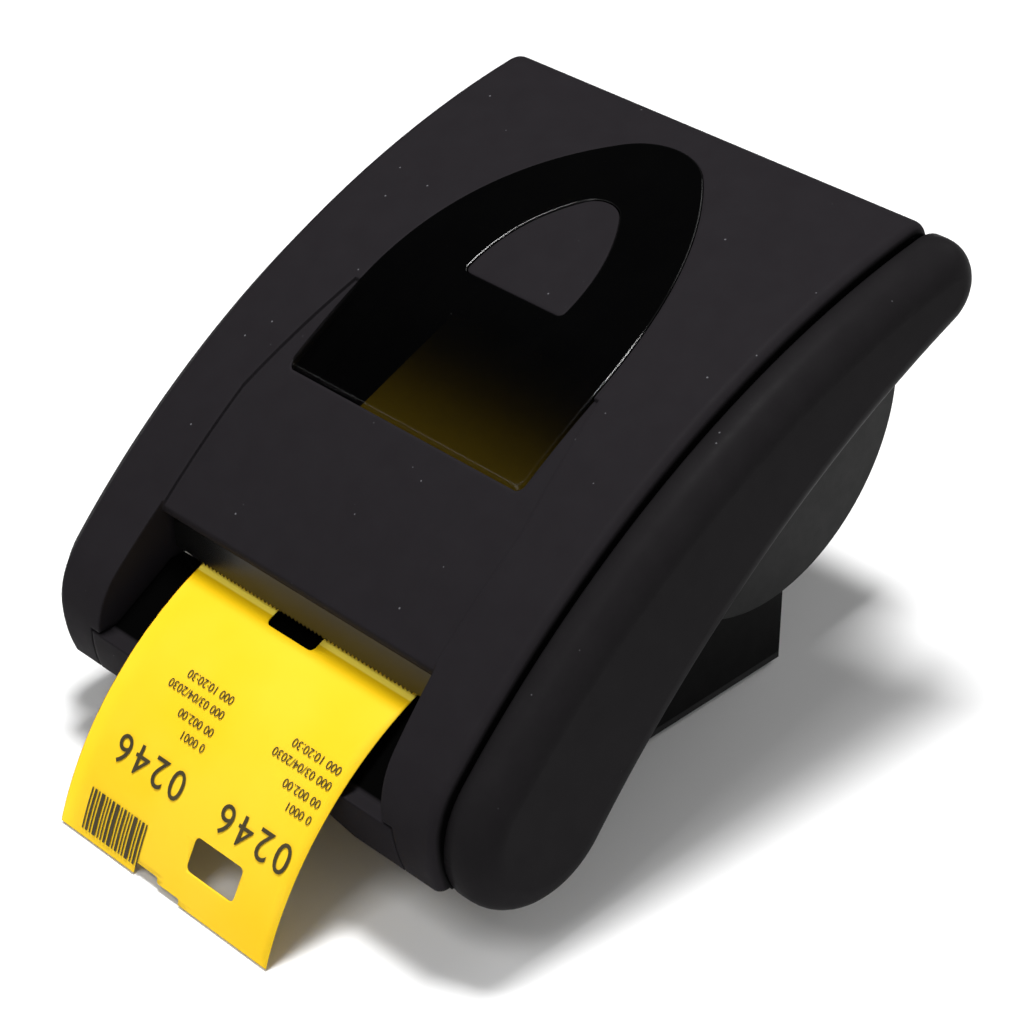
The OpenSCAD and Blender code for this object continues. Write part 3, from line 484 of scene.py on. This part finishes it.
INK = moulded("thermal_ink", (0.028, 0.02, 0.004), (0.05, 0.036, 0.006), rough=0.7,
              grain=900, depth=0.002 * MM)


def dress_nodes():
    """Gives every solid of the frame the material of its slot, or its own."""
    for name, solid in nodes.items():
        for holder in solid.material_slots:
            slot_name = holder.material.name.split(".")[0]
            holder.link = "OBJECT"
            holder.material = OWN_MATERIALS.get(name, MATERIALS[slot_name])


# Ticket

# The sheet is cut into strips along its length and across it
STRIP_START = 1 * MM
STRIP_L = 1.5 * MM
STRIP_W = 6 * MM


def ticket_outline():
    """The ticket's flat edge, across and along from the tear edge, with a punched notch at both ends."""
    side = PAPER_W / 2
    left = NOTCH_X - NOTCH_W / 2
    right = NOTCH_X + NOTCH_W / 2
    deep = NOTCH_DEEP - PUNCH_R
    tear_notch = [(left, 0)]
    tear_notch += arc((left + PUNCH_R, deep), PUNCH_R, 180, 90)
    tear_notch += arc((right - PUNCH_R, deep), PUNCH_R, 90, 0)
    tear_notch += [(right, 0)]
    end_r = PUNCH_R / 2
    upper = TICKET_L - END_NOTCH_DEEP + end_r
    lower = TICKET_L - END_NOTCH_STEP + end_r
    end_notch = [(right, TICKET_L)]
    end_notch += arc((right - end_r, lower), end_r, 0, -90)
    end_notch += arc((NOTCH_X + end_r, lower - 2 * end_r), end_r, 90, 180)
    end_notch += arc((NOTCH_X - end_r, upper), end_r, 0, -90)
    end_notch += arc((left + end_r, upper), end_r, -90, -180)
    end_notch += [(left, TICKET_L)]
    return [(-side, 0)] + tear_notch + [(side, 0), (side, TICKET_L)] + end_notch + [(-side, TICKET_L)]


def bent(shape, lift):
    """Lays a flat shape, drawn across and along the ticket, on the hanging ticket."""
    for vertex in shape.verts:
        vertex.co = on_ticket(vertex.co.x, vertex.co.y, lift)
    bmesh.ops.recalc_face_normals(shape, faces=shape.faces)


def flat_area(shape):
    """The area of a flat shape."""
    return sum(face.calc_area() for face in shape.faces)


def make_ticket():
    """The printed ticket as one thin sheet, bent along its curl."""
    hole = round_box((HOLE_X, TICKET_L - HOLE_FROM_END), HOLE_W, HOLE_L, PUNCH_R)
    shape = flat_shape([ticket_outline(), hole])
    area = flat_area(shape)
    sliced(shape, 1, STRIP_START, TICKET_L, STRIP_L)
    sliced(shape, 0, -PAPER_W / 2, PAPER_W / 2, STRIP_W)
    bent(shape, 0)
    outwards = shape.faces[:][0].normal.dot(Vector((0, -1, 1)))
    if outwards < 0:
        bmesh.ops.reverse_faces(shape, faces=shape.faces)
    mesh = finished("ticket_sheet", shape)
    smooth(mesh)
    sheet = new_object("ticket_sheet", mesh)
    thick = sheet.modifiers.new("thickness", "SOLIDIFY")
    thick.thickness = PAPER_T
    thick.offset = 1.0
    mesh.materials.append(PRINTED_STOCK)
    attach(sheet, "base")
    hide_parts("ticket")


# Print on the ticket

# Height of the digits as a share of the text's size
DIGIT_SHARE = 0.7
COLUMN_STARTS = (-3 * MM, 38 * MM)
NUMBER_TEXT = "0246"
NUMBER_H = 8.2 * MM
NUMBER_AT = 49.0 * MM
NUMBER_SPACING = 1.22
LINE_H = 2.4 * MM
LINES = {
    "000 10:20:30": 25.8 * MM,
    "000 03/04/2030": 30.3 * MM,
    "00 002.00": 35.5 * MM,
    "0 0001": 40.1 * MM,
}
BARS_AT = (-21.5 * MM, 66.5 * MM)
BAR_L = 12 * MM
BAR_WIDTHS = (0.5, 0.9, 0.5, 1.4, 0.5, 0.5, 0.9, 1.4, 0.5, 0.9, 0.5, 0.5, 1.4, 0.5, 0.9, 0.5)
BAR_GAP = 0.7 * MM
INK_LIFT = 0.03 * MM
INK_STRIP_L = 2 * MM


def text_shape(words, height, start, along, spacing=1.0):
    """A line of digits that reads towards the left of the ticket, with their tops down the ticket."""
    curve = bpy.data.curves.new("digits", "FONT")
    curve.body = words
    curve.size = height / DIGIT_SHARE
    curve.space_character = spacing
    curve.resolution_u = 4
    shape = meshed(curve)
    for vertex in shape.verts:
        vertex.co = Vector((start - vertex.co.x, along + vertex.co.y, 0))
    return shape


def bar_shapes():
    """A row of plain bars."""
    at = BARS_AT[0] - (sum(BAR_WIDTHS) * MM + BAR_GAP * (len(BAR_WIDTHS) - 1)) / 2
    for width in BAR_WIDTHS:
        right = at + width * MM
        low = BARS_AT[1]
        yield flat_shape([[(at, low), (right, low), (right, low + BAR_L), (at, low + BAR_L)]])
        at = right + BAR_GAP


def make_print():
    """All print on the ticket as one thin mesh on its face."""
    shapes = list(bar_shapes())
    for start in COLUMN_STARTS:
        shapes.append(text_shape(NUMBER_TEXT, NUMBER_H, start, NUMBER_AT, NUMBER_SPACING))
        shapes += [text_shape(words, LINE_H, start, along) for words, along in LINES.items()]
    for shape in shapes:
        sliced(shape, 1, 0, TICKET_L, INK_STRIP_L)
        bent(shape, PAPER_T + INK_LIFT)
    mesh = joined("ticket_print", shapes)
    printed = new_object("ticket_print", mesh)
    mesh.materials.append(INK)
    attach(printed, "base")


# Cheeks

# Side view of a cheek in Y and Z: an upper arc under the cover's arch, a lower arc and two round ends.
# These sizes are those of the solids, whose rear ends have a slit that these skins close.
ARCH_AT = Vector((122.435, -126.747)) * MM
ARCH_R = 276.4 * MM
CHEEK_INSET = 4.5 * MM
CHEEK_LOW_R = 315 * MM
CHEEK_FRONT_R = 26 * MM
CHEEK_REAR_R = 13 * MM
CHEEK_REAR_Y = 86.821 * MM
CHEEK_ROLL = 9 * MM
LEFT_DROP = 4 * MM
ROLL_STEPS = 10
EDGE_STEPS = 60
REAR_STEPS = 24
FRONT_STEPS = 36


def under_arch(y, depth):
    """The point so far under the cover's arch."""
    rise = math.sqrt((ARCH_R - depth) ** 2 - (y - ARCH_AT.x) ** 2)
    return Vector((y, ARCH_AT.y + rise))


def crossing(first, first_r, second, second_r, near):
    """The point at two distances from two centres, on the side of a third point."""
    line = second - first
    unit = line.normalized()
    along = (line.length_squared + first_r ** 2 - second_r ** 2) / (2 * line.length)
    across = Vector((-unit.y, unit.x)) * math.sqrt(first_r ** 2 - along ** 2)
    foot = first + unit * along
    return min((foot - across, foot + across), key=lambda point: (point - near).length)


def heading(start, end):
    """The direction from one point to another in degrees."""
    return math.degrees(math.atan2(end.y - start.y, end.x - start.x))


def cheek_arcs(front_y, drop):
    """The arcs round a cheek whose upper edge is let down.

    Each has its centre, radius, first and last angle, 1 if it bulges outwards or -1 if not, and steps.
    """
    front = under_arch(front_y, CHEEK_INSET + CHEEK_FRONT_R)
    rear = under_arch(CHEEK_REAR_Y, CHEEK_INSET + CHEEK_REAR_R)
    below = ARCH_AT - Vector((0, ARCH_R))
    low = crossing(front, CHEEK_LOW_R + CHEEK_FRONT_R, rear, CHEEK_LOW_R + CHEEK_REAR_R, below)
    top_r = ARCH_R - CHEEK_INSET - drop
    front_r = CHEEK_FRONT_R - drop / 2
    rear_r = CHEEK_REAR_R - drop / 2
    front = crossing(low, CHEEK_LOW_R + front_r, ARCH_AT, top_r - front_r, front)
    rear = crossing(low, CHEEK_LOW_R + rear_r, ARCH_AT, top_r - rear_r, rear)
    top_front = heading(ARCH_AT, front)
    top_rear = heading(ARCH_AT, rear)
    low_front = heading(low, front)
    low_rear = heading(low, rear)
    return [(ARCH_AT, top_r, top_front, top_rear, 1, EDGE_STEPS),
            (rear, rear_r, top_rear, low_rear - 180, 1, REAR_STEPS),
            (low, CHEEK_LOW_R, low_rear, low_front, -1, EDGE_STEPS),
            (front, front_r, low_front + 180, top_front, 1, FRONT_STEPS)]


def cheek_levels(inner, outer):
    """The distance from the middle and the inset of each ring of a cheek, from the inner face outwards."""
    levels = [(inner, 0)]
    for i in range(ROLL_STEPS + 1):
        roll = math.pi / 2 * i / ROLL_STEPS
        levels.append((outer - CHEEK_ROLL * (1 - math.sin(roll)), CHEEK_ROLL * (1 - math.cos(roll))))
    return levels


def make_cheek(node, drop):
    """One cheek as a smooth skin: a flat inner face, a rolled outer edge and a flat outer face."""
    low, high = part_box(node)
    outward = 1 if high.x > 0 else -1
    inner = min(abs(low.x), abs(high.x))
    outer = max(abs(low.x), abs(high.x))
    # Both cheeks are laid out from the right one's front, and the left one is then let down
    right_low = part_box("right_cheek")[0]
    arcs = cheek_arcs(right_low.y + CHEEK_FRONT_R, drop)
    shape = bmesh.new()
    rings = []
    for x, inset in cheek_levels(inner, outer):
        points = []
        for centre, radius, start, end, bulge, steps in arcs:
            points += arc(centre, radius - bulge * inset, start, end, steps)[:-1]
        rings.append([shape.verts.new((outward * x, y, z)) for y, z in points])
    for ring, following in zip(rings, rings[1:]):
        for i in range(len(ring)):
            side = shape.faces.new((ring[i - 1], ring[i], following[i], following[i - 1]))
            side.smooth = True
    shape.faces.new(rings[0])
    shape.faces.new(rings[-1])
    bmesh.ops.recalc_face_normals(shape, faces=shape.faces)
    mesh = finished(node + "_skin", shape)
    skin = new_object(node + "_skin", mesh)
    mesh.materials.append(MATERIALS["cheek_black"])
    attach(skin, "lid")
    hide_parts(node)


# Head springs

SPRING_WIRE = 0.8 * MM
SPRING_TURNS = 6
SPRING_STEPS = 20
WIRE_ROUNDNESS = 2


def coil_shape(foot, axis, height, radius):
    """A round wire wound about an axis, whose first and last turns lie flat."""
    curve = bpy.data.curves.new("coil", "CURVE")
    curve.dimensions = "3D"
    curve.bevel_depth = SPRING_WIRE / 2
    curve.bevel_resolution = WIRE_ROUNDNESS
    curve.use_fill_caps = True
    spline = curve.splines.new("POLY")
    count = SPRING_TURNS * SPRING_STEPS
    spline.points.add(count)
    across = Vector((1, 0, 0))
    along = axis.cross(across)
    rise = height - SPRING_WIRE
    for i, point in enumerate(spline.points):
        angle = 2 * math.pi * i / SPRING_STEPS
        climb = min(1, max(0, (i / SPRING_STEPS - 1) / (SPRING_TURNS - 2)))
        lift = SPRING_WIRE / 2 + climb * rise
        at = foot + axis * lift + (across * math.cos(angle) + along * math.sin(angle)) * radius
        point.co = (*at, 1)
    return meshed(curve)


def make_springs():
    """Two wound springs in the space of the solids between the print head and its bracket."""
    axis = Vector((0, math.cos(EXIT_ANGLE), math.sin(EXIT_ANGLE)))
    corners = [vertex.co for vertex in nodes["head_springs"].data.vertices]
    shapes = []
    for side in (-1, 1):
        own = [corner for corner in corners if corner.x * side > 0]
        reach = [corner.x for corner in own]
        heights = [corner.dot(axis) for corner in own]
        middle = sum(own, Vector()) / len(own)
        foot = middle + axis * (min(heights) - middle.dot(axis))
        radius = (max(reach) - min(reach) - SPRING_WIRE) / 2
        shapes.append(coil_shape(foot, axis, max(heights) - min(heights), radius))
    mesh = joined("head_coils", shapes)
    smooth(mesh)
    coils = new_object("head_coils", mesh)
    mesh.materials.append(MATERIALS["steel"])
    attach(coils, "head")
    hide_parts("head_springs")


# Stage, light and camera

FLOOR_HALF = 4
FLOOR_CELLS = 8
FLOOR_DARK = (0.9, 0.9, 0.9, 1)
FLOOR_LIGHT = (0.92, 0.92, 0.92, 1)

# The room turns from pale to dark between these cosines of the angle to its dark side
PALE_COSINE = -0.6
DARK_COSINE = 0.8


def make_floor():
    """A wide pale floor under the feet."""
    shape = bmesh.new()
    bmesh.ops.create_grid(shape, x_segments=FLOOR_CELLS, y_segments=FLOOR_CELLS, size=FLOOR_HALF)
    mesh = finished("floor", shape)
    floor = new_object("floor", mesh)
    material, tree, shader = new_material("pale_floor", roughness=0.9, specular_ior_level=0.1)
    tone = mixed(tree, noise(tree, 3), FLOOR_DARK, FLOOR_LIGHT)
    feed(tree, shader.inputs["Base Color"], tone)
    mesh.materials.append(material)


def soft_light(name, at, aim, size, power):
    """A rectangular soft box that points at a place."""
    light = bpy.data.lights.new(name, "AREA")
    light.shape = "RECTANGLE"
    light.size, light.size_y = size
    light.energy = power
    made = new_object(name, light)
    made.location = at
    made.rotation_mode = "QUATERNION"
    made.rotation_quaternion = (Vector(aim) - Vector(at)).to_track_quat("-Z", "Y")


def make_world():
    """A room that is dark up on the left behind the object and pale on the side of the camera."""
    world = bpy.data.worlds.new("studio")
    world.use_nodes = True
    tree = world.node_tree
    facing = add(tree, "VectorMath", operation="DOT_PRODUCT")
    feed(tree, facing.inputs[0], add(tree, "TexCoord").outputs["Generated"])
    facing.inputs[1].default_value = DARK_SIDE.normalized()
    strength = spread(tree, facing.outputs["Value"], ROOM_PALE, ROOM_DARK, PALE_COSINE, DARK_COSINE)
    feed(tree, tree.nodes["Background"].inputs["Strength"], strength)
    tree.nodes["Background"].inputs["Color"].default_value = (1, 1, 1, 1)
    bpy.context.scene.world = world


def make_light():
    """A soft box overhead, with weaker ones in front and behind."""
    soft_light("key", at=(-0.04, 0.0, 1.35), aim=(0, 0.02, 0), size=(0.3, 0.3), power=20)
    soft_light("front", at=(0.1, -0.8, 1.2), aim=(0, 0, 0.05), size=(0.5, 0.5), power=6)
    soft_light("rear", at=(0.3, 1.4, 1.0), aim=(0, 0, 0.05), size=(1.2, 0.8), power=6)


def make_camera():
    """The camera of the photograph."""
    lens = bpy.data.cameras.new("camera")
    lens.lens = CAMERA_LENS
    lens.sensor_width = SENSOR_W
    lens.clip_start = 10 * MM
    camera = new_object("camera", lens)
    camera.location = CAMERA_AT
    camera.rotation_mode = "QUATERNION"
    camera.rotation_quaternion = CAMERA_AIM.to_track_quat("-Z", "Y")
    bpy.context.scene.camera = camera


make_camera()
make_ticket()
make_print()
make_springs()
make_cheek("right_cheek", 0)
make_cheek("left_cheek", LEFT_DROP)
dress_nodes()
make_floor()
make_world()
make_light()
bpy.context.scene.view_settings.view_transform = "Standard"
